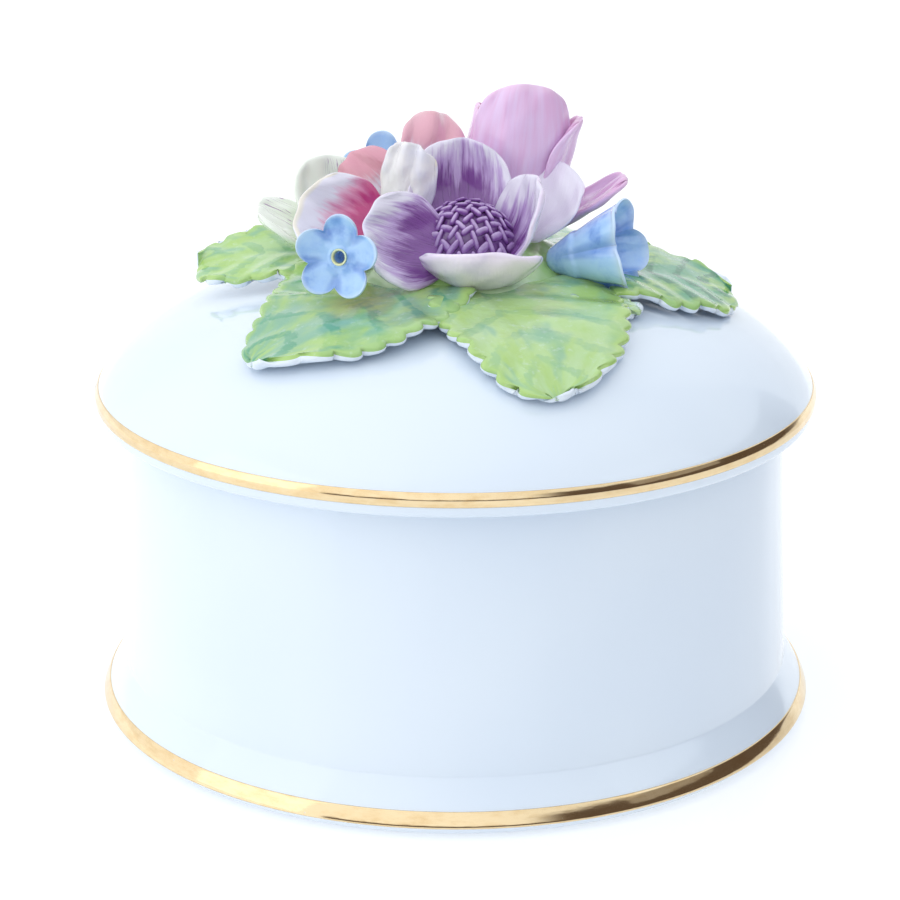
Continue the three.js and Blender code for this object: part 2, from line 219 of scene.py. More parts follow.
def white_glaze(name):
    """White china: cool white with faint clouds, a few kiln specks and a gently waving glaze."""
    material, tree, shader = new_material(name)
    place = node(tree, "TexCoord").outputs["Object"]
    patches = cloud(tree, place, 24, 2)
    colour = tint(tree, between(tree, patches, 0.35, 0.75), CHINA_WHITE, CHINA_SHADE)
    cells = node(tree, "TexVoronoi", {"feature": "F1"}, Vector=place, Scale=95.0)
    speck = between(tree, cells.outputs["Distance"], 0.060, 0.035)
    chosen = between(tree, cells.outputs["Color"], 0.93, 0.95)
    speck = calc(tree, "MULTIPLY", speck, chosen)
    colour = tint(tree, calc(tree, "MULTIPLY", speck, 0.55), colour, SPECK_BROWN)
    tree.links.new(colour, shader.inputs["Base Color"])
    glaze_over(shader)
    wave = cloud(tree, place, 60, 2)
    raised(tree, shader, wave, 0.00008, 0.35)
    return material


white_china = white_glaze("white_china")

mouth = BOX_RADIUS - BOX_WALL


def flare_outline(top, steps):
    """The foot from its lip up to a height: neck + (foot - neck) * (1 - share^power)."""
    height = np.linspace(FOOT_LIP, top, steps)
    share = (height - FOOT_LIP) / (FOOT_NECK - FOOT_LIP)
    return np.stack([NECK_RADIUS + (FOOT_RADIUS - NECK_RADIUS) * (1 - share**FLARE_POWER), height], 1)


flare = flare_outline(FOOT_NECK, 16)


def box_profile():
    """From the middle of the underside, out round the foot, up the wall and back down inside."""
    foot = rounded([
        [0, FOOT_RECESS],
        [FOOT_RADIUS - FOOT_RING - FOOT_RECESS, FOOT_RECESS],
        [FOOT_RADIUS - FOOT_RING, 0],
        [FOOT_RADIUS - FOOT_LIP, 0],
        flare[0],
        flare[1],
    ], 0.9)[:-1]
    wall = rounded([
        flare[-2],
        flare[-1],
        [BOX_RADIUS, BOX_HEIGHT],
        [mouth, BOX_HEIGHT],
        [mouth, FLOOR_TOP],
        [0, FLOOR_TOP],
    ], 1.0)[1:]
    return np.concatenate([foot, flare[1:-2], wall])


box_body = turned("box_body_glazed", box_profile())
box_body.data.materials.append(white_china)
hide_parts("box_body")
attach(box_body, "box")

# ----------------------------------------------------------------------------- foot gilt band
# Liquid bright gold painted round the widest part of the foot on a turntable, fired on at low
# heat and burnished. It is a film with soft edges, thinner where the brush ran dry.

GILT_LIFT = 0.04
GILT_FILM = 0.06
FOOT_GILT_TOP = 3.1
GOLD = (0.82, 0.65, 0.40)
GOLD_DEEP = (0.74, 0.54, 0.29)


def burnished_gold(name):
    """Gold film: warm, nearly mirror bright, with fine turning marks and small worn spots."""
    material, tree, shader = new_material(name)
    place = node(tree, "TexCoord").outputs["Object"]
    rub = cloud(tree, place, 420, 4, 0.6, (1, 1, 3))
    colour = tint(tree, between(tree, rub, 0.35, 0.8), GOLD, GOLD_DEEP)
    worn = between(tree, cloud(tree, place, 900, 3, 0.7), 0.70, 0.76)
    colour = tint(tree, calc(tree, "MULTIPLY", worn, 0.35), colour, CHINA_WHITE)
    tree.links.new(colour, shader.inputs["Base Color"])
    metal = calc(tree, "SUBTRACT", 1.0, calc(tree, "MULTIPLY", worn, 0.5))
    tree.links.new(metal, shader.inputs["Metallic"])
    sheen = node(tree, "MapRange", None, _0=rub, _1=0.2, _2=0.8, _3=0.06, _4=0.13).outputs[0]
    tree.links.new(sheen, shader.inputs["Roughness"])
    raised(tree, shader, cloud(tree, place, 260, 2, 0.5, (1, 1, 4)), 0.00003, 0.5)
    return material


gold_film = burnished_gold("burnished_gold")


def film_on(profile, lift, thickness, edge=0.25):
    """A film over a stretch of profile: it swells from nothing at each edge to its full height."""
    profile = np.asarray(profile, float)
    along = np.gradient(profile, axis=0)
    normal = np.stack([along[:, 1], -along[:, 0]], 1)
    normal /= np.linalg.norm(normal, axis=1, keepdims=True)
    run = np.concatenate([[0], np.cumsum(np.linalg.norm(np.diff(profile, axis=0), axis=1))])
    share = np.clip(np.minimum(run, run[-1] - run) / edge, 0, 1)[:, None]
    outer = profile + normal * (lift + thickness * np.sqrt(share * (2 - share)))
    inner = profile - normal * lift
    return np.concatenate([outer, inner[::-1]])


foot_band = flare_outline(FOOT_GILT_TOP, 24)
foot_gilt = turned("foot_gilt_film", film_on(foot_band, GILT_LIFT, GILT_FILM), closed=True)
foot_gilt.data.materials.append(gold_film)
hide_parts("foot_gilt_band")
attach(foot_gilt, "box")

# ------------------------------------------------------------------------------------ lid shell
# The lid: a low cast dome with a thick rounded edge, a flat seat that overhangs the wall and a
# flange below it that drops into the mouth. Same white body and clear glaze as the box.

SEAT_Z = BOX_HEIGHT + 0.1
LID_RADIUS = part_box("lid_shell")[1].x / MM
LID_LIP = 1.3
LID_EDGE = 2.7
LID_TURN = 0.6
LID_SPRING = LID_RADIUS - 0.3
DOME_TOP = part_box("lid_shell")[1].z / MM
DOME_RISE = DOME_TOP - SEAT_Z - LID_EDGE
DOME_FLATNESS = 3.85
DOME_SHOULDER = 1.185
LID_WALL = 2.8
FLANGE_PLAY = 0.7
FLANGE_WALL = 2.4
FLANGE_DEPTH = 4.4


def dome_drop(radius):
    """How far the dome has fallen at a radius: rise * (1 - (1 - k^flatness)^(1/shoulder))."""
    share = np.clip(np.asarray(radius, float) / LID_SPRING, 0, 1)
    return DOME_RISE * (1 - (1 - share**DOME_FLATNESS) ** (1 / DOME_SHOULDER))


flange_out = mouth - FLANGE_PLAY
flange_in = flange_out - FLANGE_WALL
ceiling_radius = flange_in * np.linspace(0, 0.985, 24)
ceiling = np.stack([ceiling_radius, DOME_TOP - LID_WALL - dome_drop(ceiling_radius)], 1)
underside = rounded([
    ceiling[-2],
    ceiling[-1],
    [flange_in, SEAT_Z - FLANGE_DEPTH],
    [flange_out, SEAT_Z - FLANGE_DEPTH],
    [flange_out, SEAT_Z],
    [LID_RADIUS - 0.2, SEAT_Z],
    [LID_RADIUS, SEAT_Z + LID_LIP],
    [LID_RADIUS, SEAT_Z + LID_EDGE - LID_TURN],
], 1.1)[1:]
slope = np.linspace(0, 1, 56)
dome_radius = LID_SPRING * np.cos(slope * np.pi / 2) ** 0.8
dome = np.stack([dome_radius, DOME_TOP - dome_drop(dome_radius)], 1)
dome[-1, 0] = 0
lid_outline = np.concatenate([ceiling[:-1], underside, dome])
lid_shell = turned("lid_shell_glazed", lid_outline)
lid_shell.data.materials.append(white_china)
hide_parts("lid_shell")
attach(lid_shell, "lid")

# ----------------------------------------------------------------------------- lid gilt band
# The same gold film, brushed over the thick edge of the lid where the dome turns under.

edge_height = np.linspace(SEAT_Z + LID_LIP, SEAT_Z + LID_EDGE - LID_TURN, 12)
lid_edge = np.concatenate([
    np.stack([np.full_like(edge_height, LID_RADIUS), edge_height], 1),
    dome[:3],
])
lid_gilt = turned("lid_gilt_film", film_on(lid_edge, GILT_LIFT, GILT_FILM), closed=True)
lid_gilt.data.materials.append(gold_film)
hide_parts("lid_gilt_band")
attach(lid_gilt, "lid")

# ---------------------------------------------------------------------------------- posy mound
# A pad of china clay pressed on the middle of the dome. Leaves and flowers are bedded in it with
# slip, and what shows of it between them is washed pale green.

MOUND_CENTRE = np.array([-0.5, 0.0])
MOUND_REACH = np.array([15.5, 13.4])
MOUND_HEIGHT = 5.6
MOUND_SINK = 0.1


def closed_sheet(centre, normal, half):
    """Two faces of a sheet that share their rim: centre + normal * half and centre - normal * half.

    All three are arrays over the same grid, and half is nothing all round the grid's border.
    Returns points, quads, and for every point its side: 1 above, -1 below, 0 on the rim.
    """
    rows, columns = half.shape
    upper = centre + normal * half[..., None]
    lower = centre - normal * half[..., None]
    top = np.arange(rows * columns).reshape(rows, columns)
    inner = np.arange((rows - 2) * (columns - 2)).reshape(rows - 2, columns - 2) + rows * columns
    bottom = top.copy()
    bottom[1:-1, 1:-1] = inner
    points = np.concatenate([upper.reshape(-1, 3), lower[1:-1, 1:-1].reshape(-1, 3)])

    def quads(grid):
        return np.stack([grid[:-1, :-1], grid[1:, :-1], grid[1:, 1:], grid[:-1, 1:]], -1).reshape(-1, 4)

    faces = np.concatenate([quads(top), quads(bottom)[:, ::-1]])
    side = np.zeros((rows, columns))
    side[1:-1, 1:-1] = 1
    side = np.concatenate([side.ravel(), -np.ones(inner.size)])
    return points, faces, side


def eased(count, low, high):
    """Numbers from low to high, packed towards both ends as a cosine packs them."""
    return low + (high - low) * (1 - np.cos(np.pi * np.linspace(0, 1, count))) / 2


def sheet_piece(name, surface, thickness, rows, columns, rim, lumps=None):
    """A hand-pressed sheet of clay from surface(s, t), s along 0..1 and t across -1..1.

    Its half thickness is thickness / 2 * sqrt((1 - |t|^rim)(1 - |2s-1|^rim)), so its edge is
    round. s and t are kept on the piece, with which side of the sheet a point is on.
    """
    s, t = np.meshgrid(eased(rows, 0, 1), eased(columns, -1, 1), indexing="ij")
    centre = surface(s, t)
    ds = np.gradient(centre, axis=0)
    dt = np.gradient(centre, axis=1)
    normal = np.cross(ds, dt)
    normal /= np.maximum(np.linalg.norm(normal, axis=-1, keepdims=True), 1e-9)
    rounding = (1 - np.abs(t) ** rim) * (1 - np.abs(2 * s - 1) ** rim)
    half = thickness / 2 * np.sqrt(np.clip(rounding, 0, 1))
    if lumps is not None:
        centre = centre + normal * lumps(s, t)[..., None]
    half[0] = half[-1] = 0
    half[:, 0] = half[:, -1] = 0
    points, faces, side = closed_sheet(centre, normal, half)
    piece = add_mesh(name, points, faces)
    store(piece, "along", np.concatenate([s.ravel(), s[1:-1, 1:-1].ravel()]))
    store(piece, "across", np.concatenate([t.ravel(), t[1:-1, 1:-1].ravel()]))
    store(piece, "side", side)
    return piece


def mound_surface():
    """A flattened dome on an oval: height * (1 - k^2.6)^0.6 at share k of the reach."""
    share = np.linspace(1, 0, 40)
    profile = [[0, 0], [0.98, 0.0]]
    profile += [[k, (1 - k**2.6) ** 0.6] for k in share]
    return np.array(profile)


posy_mound = turned("posy_mound_glazed", mound_surface(), steps=128)
clay = points_of(posy_mound)
clay_turn = np.arctan2(clay[:, 1], clay[:, 0])
swell = 1 + 0.04 * np.sin(5 * clay_turn + 1) + 0.03 * np.sin(9 * clay_turn)
clay[:, :2] = clay[:, :2] * MOUND_REACH * swell[:, None] + MOUND_CENTRE
dome_under = DOME_TOP - dome_drop(np.hypot(clay[:, 0], clay[:, 1]))
clay[:, 2] = dome_under - MOUND_SINK + clay[:, 2] * MOUND_HEIGHT
move_points(posy_mound, clay)

WASH_GREEN = (0.38, 0.62, 0.22)
WASH_PALE = (0.62, 0.78, 0.55)


def green_wash(name):
    """A thin green wash, pooled in patches over the white clay."""
    material, tree, shader = new_material(name)
    place = node(tree, "TexCoord").outputs["Object"]
    pool = cloud(tree, place, 160, 3)
    colour = tint(tree, between(tree, pool, 0.35, 0.65), WASH_GREEN, WASH_PALE)
    tree.links.new(colour, shader.inputs["Base Color"])
    glaze_over(shader)
    raised(tree, shader, cloud(tree, place, 300, 3), 0.0004, 0.5)
    return material


posy_mound.data.materials.append(green_wash("mound_green"))
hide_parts("posy_mound")
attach(posy_mound, "lid")

# -------------------------------------------------------------------------------------- leaves
# Seven leaves cut from rolled china clay with a notched cutter, veined with a tool and laid over
# the dome. Their upper face is brushed in greens; the thick cut edge and the back stay white.

LEAF_THICKNESS = 1.15
LEAF_CLEARANCE = 0.35
LEAF_VEINS = 5
VEIN_SLANT = 1.3
NOTCH_DEPTH = 1.3
LEAF_FROST = (0.22, 0.47, 0.31)
LEAF_LIME = (0.40, 0.62, 0.16)
LEAF_LIGHT = (0.46, 0.68, 0.32)
LEAF_DEEP = (0.09, 0.36, 0.20)
LEAF_DARK = (0.045, 0.22, 0.11)


def attribute(tree, name):
    """A number kept on the piece by store()."""
    return node(tree, "Attribute", {"attribute_name": name}).outputs["Fac"]


def brush_place(tree, along, across, offset=0.0):
    """A place on the sheet itself, with its length and width stretched by the two numbers."""
    s = calc(tree, "MULTIPLY", attribute(tree, "along"), along)
    t = calc(tree, "MULTIPLY", attribute(tree, "across"), across)
    return node(tree, "CombineXYZ", None, _0=s, _1=t, _2=offset).outputs[0]


def cubic(widths, s):
    """The cubic through four widths, at nothing, one third, two thirds and all of the length."""
    return np.polyval(np.polyfit([0, 1 / 3, 2 / 3, 1], widths, 3), s)


def leaf_surface(start, tip, left, right, lift, fold=0.4, tilt=0.0, teeth=9, point=8):
    """A leaf over the dome: start + run * s + side * width * t, at the dome's height plus a lift.

    Each half's width is a cubic along the length, closed at the tip by sqrt(1 - s^point) and
    scalloped by |sin(pi teeth s)|^0.5. The midrib is a groove and the side veins are ripples that
    slant towards the tip. The lift goes from one end to the other, plus fold t^2 and tilt t.
    """
    start = np.array(start, float)
    run = np.array(tip, float) - start
    side = np.array([-run[1], run[0]]) / np.hypot(*run)

    def surface(s, t):
        width = np.where(t < 0, cubic(left, s), cubic(right, s))
        width = width * np.sqrt(np.clip(1 - s**point, 0, 1))
        notch = 1 - np.abs(np.sin(np.pi * teeth * s + 0.6 * np.sign(t))) ** 0.5
        width = width - notch * NOTCH_DEPTH * np.abs(t) ** 6 * np.clip(s * 4, 0, 1)
        place = start + run * s[..., None] + side * (width * t)[..., None]
        vein = s * LEAF_VEINS - np.abs(t) * VEIN_SLANT
        ripple = 0.11 * np.cos(2 * np.pi * vein) * t * t / (t * t + 0.05)
        groove = 0.2 * np.exp(-((t / 0.14) ** 2)) * np.clip(1.2 - s, 0, 1)
        height = lift[0] + (lift[1] - lift[0]) * s + fold * t**2 + tilt * t
        height = height + 0.35 * np.sin(2 * np.pi * (s * 2.2 + 0.2 * t)) * t**2
        z = np.maximum(height, 0) + ripple - groove + LEAF_CLEARANCE + LEAF_THICKNESS / 2
        z = z + DOME_TOP - dome_drop(np.hypot(place[..., 0], place[..., 1]))
        return np.concatenate([place, z[..., None]], -1)

    return surface


def leaf_paint(name, ground, stroke, strokes, seed):
    """Greens brushed over white clay: a wet ground, darker strokes along the veins, a lime margin.

    The strokes follow the same slanting veins as the relief. Paint stops short of the cut edge.
    """
    material, tree, shader = new_material(name)
    place = node(tree, "TexCoord").outputs["Object"]
    s, t = attribute(tree, "along"), attribute(tree, "across")
    width = calc(tree, "ABSOLUTE", t)
    slant = calc(tree, "MULTIPLY", width, VEIN_SLANT)
    vein = calc(tree, "SUBTRACT", calc(tree, "MULTIPLY", s, float(LEAF_VEINS)), slant)
    brush = cloud(tree, brush_place(tree, 9.0, 3.0, seed), 1.0, 4, 0.6)
    shifted = calc(tree, "ADD", vein, calc(tree, "MULTIPLY", brush, 0.7))
    wave = calc(tree, "SINE", calc(tree, "MULTIPLY", shifted, 2 * np.pi))
    patch = cloud(tree, brush_place(tree, 3.0, 2.0, seed + 4.0), 1.0, 3, 0.6)
    colour = tint(tree, between(tree, patch, 0.35, 0.68), ground, LEAF_LIME)
    frost = between(tree, cloud(tree, brush_place(tree, 4.0, 2.6, seed + 9.0), 1.0, 2), 0.52, 0.70)
    colour = tint(tree, calc(tree, "MULTIPLY", frost, 0.75), colour, LEAF_FROST)
    band = between(tree, calc(tree, "ADD", wave, calc(tree, "MULTIPLY", brush, 1.2)), 1.05, 1.45)
    band = calc(tree, "MULTIPLY", band, between(tree, patch, 0.62, 0.45))
    colour = tint(tree, calc(tree, "MULTIPLY", band, strokes), colour, stroke)
    margin = between(tree, calc(tree, "ADD", width, calc(tree, "MULTIPLY", brush, 0.25)), 0.88, 1.06)
    colour = tint(tree, calc(tree, "MULTIPLY", margin, 0.7), colour, LEAF_LIME)
    fine = cloud(tree, place, 900, 3, 0.65)
    bare = calc(tree, "MULTIPLY", between(tree, fine, 0.55, 0.8), 0.25)
    colour = tint(tree, bare, colour, CHINA_WHITE)
    edge = calc(tree, "ADD", attribute(tree, "side"), calc(tree, "MULTIPLY", brush, 0.3))
    painted = between(tree, edge, 0.80, 1.02)
    colour = tint(tree, painted, CHINA_WHITE, colour)
    tree.links.new(colour, shader.inputs["Base Color"])
    glaze_over(shader, 0.12)
    relief = calc(tree, "ADD", cloud(tree, place, 330, 3), calc(tree, "MULTIPLY", fine, 0.3))
    raised(tree, shader, relief, 0.0003, 0.6)
    return material


LEAVES = {
    "leaf_front_right": dict(
        start=(2.5, -9.0), tip=(10.6, -33.4), left=(6, 8.2, 7.4, 5), right=(13.5, 14.6, 11.6, 5.5),
        lift=(0.6, 0.2), fold=0.3, teeth=11, point=14,
        ground=LEAF_LIGHT, stroke=LEAF_DEEP, strokes=0.30),
    "leaf_front_left": dict(
        start=(-4.0, -7.0), tip=(-22.0, -25.0), left=(16, 13.6, 8.0, 5), right=(9, 12.4, 11.4, 4),
        lift=(0.8, 0.3), fold=0.4, teeth=11, point=9,
        ground=LEAF_FROST, stroke=LEAF_DEEP, strokes=0.85),
    "leaf_right": dict(
        start=(16.0, -3.8), tip=(32.2, 0.8), left=(7, 8.6, 8.2, 5), right=(7, 9.0, 8.8, 5),
        lift=(1.4, 0.6), fold=0.3, tilt=0.8, teeth=7, point=9,
        ground=LEAF_DEEP, stroke=LEAF_DARK, strokes=0.9),
    "leaf_left": dict(
        start=(-12.0, 1.5), tip=(-30.0, 1.4), left=(5, 6.4, 6.0, 4), right=(5, 6.2, 5.4, 4),
        lift=(1.6, 2.8), fold=0.3, tilt=-1.6, teeth=6, point=12,
        ground=LEAF_LIGHT, stroke=LEAF_DEEP, strokes=0.35),
    "leaf_right_small": dict(
        start=(12.4, -9.6), tip=(20.6, -13.0), left=(2.6, 2.8, 2.4, 1.6), right=(2.4, 2.6, 2.2, 1.4),
        lift=(0.2, 0.1), fold=0.0, teeth=3, point=8,
        ground=CHINA_SHADE, stroke=LEAF_FROST, strokes=0.3),
    "leaf_back_left": dict(
        start=(-6.0, 10.0), tip=(-18.2, 26.4), left=(7, 9.0, 7.6, 4), right=(7, 9.0, 7.6, 4),
        lift=(0.8, 0.5), teeth=8, point=10, ground=LEAF_LIGHT, stroke=LEAF_DEEP, strokes=0.6),
    "leaf_back_right": dict(
        start=(9.0, 9.0), tip=(22.4, 23.4), left=(7, 9.0, 7.6, 4), right=(7, 9.0, 7.6, 4),
        lift=(0.8, 0.5), teeth=8, point=10, ground=LEAF_FROST, stroke=LEAF_DEEP, strokes=0.8),
}
for number, (leaf_name, sizes) in enumerate(LEAVES.items()):
    colours = [sizes.pop(key) for key in ("ground", "stroke", "strokes")]
    piece = sheet_piece(leaf_name + "_painted", leaf_surface(**sizes), LEAF_THICKNESS, 120, 64, rim=30)
    piece.data.materials.append(leaf_paint(leaf_name + "_greens", *colours, 1.7 * number))
    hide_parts(leaf_name)
    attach(piece, "lid")

# ------------------------------------------------------------------------------------- anemone
# The big flower at the front: five broad petals thumbed out of clay round a button of stamens.
# They are streaked with purple from the heart outwards. Their rims and backs stay nearly white.

PETAL_THICKNESS = 0.85
WIDEST = 0.55
ANEMONE_WHITE = (0.80, 0.77, 0.90)
ANEMONE_LILAC = (0.52, 0.37, 0.68)
ANEMONE_PURPLE = (0.22, 0.075, 0.33)
ANEMONE_DARK_AND_SHADE = (0.07, 0.02, 0.12)
ANEMONE_BACK = (0.92, 0.82, 0.97)
ANEMONE_BACK_SHADE = (0.80, 0.70, 0.92)


def petal_surface(base, heading, rise, length, half_width, wrap, roll=0.0, neck=0.5, tip=0.8,
                  ruffle=0.0, waves=3.0, turn_out=0.0, phase=0.0):
    """A petal that leaves its base along a heading and climbs from one angle to another.

    Along its length it is an arc; across, it wraps on a cylinder of radius wrap. Its half width
    swells from the neck as a quarter sine and closes as sqrt(1 - k^2 (1 - tip^2)). The end is
    rounded by shortening the length with 1 - sqrt(1 - 0.8 t^2), as far as it can be without the
    corners folding over. The rim waves by ruffle sin(waves pi t + phase), and turn_out bends the
    last third back by that many degrees.
    """
    h, a = np.radians(heading), np.radians(roll)
    out = np.array([np.cos(h), np.sin(h), 0.0])
    flat = np.array([-np.sin(h), np.cos(h), 0.0])
    across = flat * np.cos(a) + np.cross(out, flat) * np.sin(a)
    up = np.cross(out, across)
    first = np.radians(rise[0])
    turn = np.radians(rise[1] - rise[0])
    base = np.array(base, float) + np.array([0, 0, DOME_TOP])
    rounding = 0.85 * tip / (0.553 * tip + 1.79 * (1 - tip * tip) / ((1 - WIDEST) * tip))

    def surface(s, t):
        opening = neck + (1 - neck) * np.sin(np.pi / 2 * np.minimum(s, WIDEST) / WIDEST)
        k = np.clip((s - WIDEST) / (1 - WIDEST), 0, 1)
        width = np.where(s < WIDEST, opening, np.sqrt(1 - k * k * (1 - tip * tip)))
        reach = s * (1 - rounding * (1 - np.sqrt(1 - 0.8 * t * t)))
        angle = first + turn * reach
        run = length / turn * (np.sin(angle) - np.sin(first))
        climb = length / turn * (np.cos(first) - np.cos(angle))
        late = np.clip((s - 0.66) / 0.34, 0, 1)
        bend = -np.radians(turn_out) * late**2 * length * 0.17
        curl = half_width * width * t / wrap
        lift = wrap * (1 - np.cos(curl)) + ruffle * s**3 * np.sin(waves * np.pi * t + phase) + bend
        return (base + out * (run - np.sin(angle) * lift)[..., None]
                + up * (climb + np.cos(angle) * lift)[..., None]
                + across * (wrap * np.sin(curl))[..., None])

    return surface


def dents(depth, seed):
    """Slight dents left by fingers and tools: a few crossed sines over the sheet."""
    def lumps(s, t):
        first = np.sin(9 * s + 4 * t + seed) * np.sin(5 * t - 3 * s + 2 * seed)
        second = np.sin(17 * s - 11 * t + 3 * seed) * 0.4
        return depth * (first + second)
    return lumps


def anemone_paint(name, amount, seed):
    """Purple streaks from the heart, thinning to lilac near a white rim; the back is cream white.

    A fine and a broad noise are drawn out along the petal, and the paint shows where their sum
    beats the distance from the heart.
    """
    material, tree, shader = new_material(name)
    place = node(tree, "TexCoord").outputs["Object"]
    s, t = attribute(tree, "along"), attribute(tree, "across")
    fine = cloud(tree, brush_place(tree, 2.2, 15.0, seed), 1.0, 5, 0.65)
    broad = cloud(tree, brush_place(tree, 1.4, 4.5, seed + 7.0), 1.0, 3, 0.55)
    reach = calc(tree, "SUBTRACT", amount, calc(tree, "MULTIPLY", s, 1.05))
    wide = calc(tree, "MULTIPLY", calc(tree, "POWER", calc(tree, "ABSOLUTE", t), 3.0), 0.45)
    reach = calc(tree, "SUBTRACT", reach, wide)
    load = calc(tree, "ADD", reach, calc(tree, "MULTIPLY", broad, 0.9))
    load = calc(tree, "ADD", load, calc(tree, "MULTIPLY", fine, 0.8))
    colour = tint(tree, between(tree, load, 0.72, 1.05), ANEMONE_WHITE, ANEMONE_LILAC)
    colour = tint(tree, between(tree, load, 1.0, 1.32), colour, ANEMONE_PURPLE)
    hair = cloud(tree, brush_place(tree, 3.0, 34.0, seed + 3.0), 1.0, 3, 0.7)
    hair = between(tree, hair, 0.56, 0.66)
    hair = calc(tree, "MULTIPLY", hair, between(tree, load, 0.85, 1.2))
    colour = tint(tree, calc(tree, "MULTIPLY", hair, 0.6), colour, ANEMONE_DARK_AND_SHADE)
    inside = between(tree, attribute(tree, "side"), 0.2, 0.9)
    rim = calc(tree, "MULTIPLY", between(tree, s, 0.97, 1.0), 0.6)
    colour = tint(tree, rim, colour, ANEMONE_WHITE)
    soft = cloud(tree, place, 300, 3)
    back = tint(tree, between(tree, soft, 0.4, 0.7), ANEMONE_BACK, ANEMONE_BACK_SHADE)
    colour = tint(tree, inside, back, colour)
    tree.links.new(colour, shader.inputs["Base Color"])
    glaze_over(shader, 0.16, 0.5)
    relief = calc(tree, "ADD", calc(tree, "MULTIPLY", fine, 0.7), calc(tree, "MULTIPLY", soft, 0.5))
    raised(tree, shader, relief, 0.0003, 0.5)
    return material


def make_petals(petals, paint):
    """Presses, paints and fixes each petal of a flower; paint(name, number) makes its material."""
    for number, (name, sizes) in enumerate(petals.items()):
        sizes = dict(sizes)
        brush = sizes.pop("brush", {})
        piece = sheet_piece(name + "_painted", petal_surface(**sizes), PETAL_THICKNESS, 64, 64,
                            rim=10, lumps=dents(0.10, number + len(name)))
        piece.data.materials.append(paint(name + "_glaze", seed=3.1 * number, **brush))
        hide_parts(name)
        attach(piece, "lid")


ANEMONE = {
    "anemone_petal_front": dict(
        base=(2.8, -9.4, 2.2), heading=-90, rise=(-8, 84), length=9.2, half_width=7.8, wrap=9,
        tip=0.86, ruffle=0.3, waves=2.0, brush=dict(amount=0.15)),
    "anemone_petal_left": dict(
        base=(-1.2, -8.4, 5.2), heading=170, rise=(20, 54), length=10.6, half_width=6.0, wrap=14,
        roll=-52, tip=0.82, ruffle=0.25, brush=dict(amount=0.95)),
    "anemone_petal_right": dict(
        base=(5.0, -6.6, 3.6), heading=24, rise=(38, 96), length=11.2, half_width=5.4, wrap=7,
        tip=0.76, ruffle=0.2, brush=dict(amount=0.78)),
    "anemone_petal_back": dict(
        base=(0.6, -2.0, 5.9), heading=95, rise=(54, 92), length=11.2, half_width=6.4, wrap=10,
        tip=0.88, ruffle=0.3, brush=dict(amount=1.02)),
    "anemone_petal_back_right": dict(
        base=(6.2, -1.4, 5.0), heading=56, rise=(32, 64), length=11.4, half_width=8.2, wrap=16,
        tip=0.9, ruffle=0.3, brush=dict(amount=0.05)),
}
make_petals(ANEMONE, anemone_paint)

# ------------------------------------------------------------------------------ anemone stamens
# The button in the anemone: clay pressed through gauze, so that it stands up in short rods that
# lean this way and that like basketwork. Purple, with painted highlights on the tips and painted
# shade low on the rods and in the gaps.

BUTTON_FOOT = np.array([1.3, -5.0, 5.3 + DOME_TOP])
BUTTON_AXIS = np.array([0.02, -0.62, 0.79])
BUTTON_RADIUS = 5.5
BUTTON_RISE = 5.0
ROD_PITCH = 1.18
ROD_HALF = np.array([0.80, 0.32, 0.55])
ROD_STEPS = 9
ROD_SIDES = 12
LATTICE_SHARE = 0.70
JITTER = 0.16
STAMEN_PURPLE = (0.23, 0.085, 0.35)
STAMEN_LILAC = (0.36, 0.18, 0.52)
STAMEN_TIP_HIGHLIGHT = (0.56, 0.42, 0.70)


def frame_on(axis):
    """Two directions square to an axis and the axis itself, as the rows of a matrix."""
    axis = np.asarray(axis, float) / np.linalg.norm(axis)
    right = np.cross([0, 0, 1.0], axis) if abs(axis[2]) < 0.95 else np.cross(axis, [0, 1.0, 0])
    right /= np.linalg.norm(right)
    return np.stack([right, np.cross(axis, right), axis])


def button_height(radius):
    """The button's dome: rise * (1 - (r / (1.08 radius))^2.4)."""
    return BUTTON_RISE * (1 - np.clip(radius / (BUTTON_RADIUS * 1.08), 0, 1) ** 2.4)


button_profile = [[0, -1.0], [BUTTON_RADIUS * 1.02, -0.6]]
button_profile += [[r, button_height(r) - 0.12] for r in np.linspace(BUTTON_RADIUS, 0, 20)]
button = turned("anemone_button", button_profile, steps=64)
lattice = np.arange(-8, 9)
i, j = (grid.ravel() for grid in np.meshgrid(lattice, lattice, indexing="ij"))
centre_x = (i + j) * ROD_PITCH * LATTICE_SHARE
centre_y = (i - j) * ROD_PITCH * LATTICE_SHARE
kept = np.hypot(centre_x, centre_y) < BUTTON_RADIUS * 0.98
i, j, centre_x, centre_y = i[kept], j[kept], centre_x[kept], centre_y[kept]
jitter = np.sin(np.outer([12.9, 78.2, 37.7, 51.3], i) + np.outer([43.1, 9.7, 61.9, 23.3], j))
centre_x = centre_x + JITTER * jitter[0]
centre_y = centre_y + JITTER * jitter[1]
lean = np.where((i + j) % 2 == 0, np.pi / 4, -np.pi / 4) + 0.35 * jitter[2]
rod_around = np.linspace(0, 2 * np.pi, ROD_SIDES, endpoint=False)
polar, around = np.meshgrid(np.linspace(0, np.pi, ROD_STEPS), rod_around, indexing="ij")


def boxed(value, power=0.55):
    """A sine or cosine pushed towards its ends, which turns a ball into a rounded rod."""
    return np.sign(value) * np.abs(value) ** power


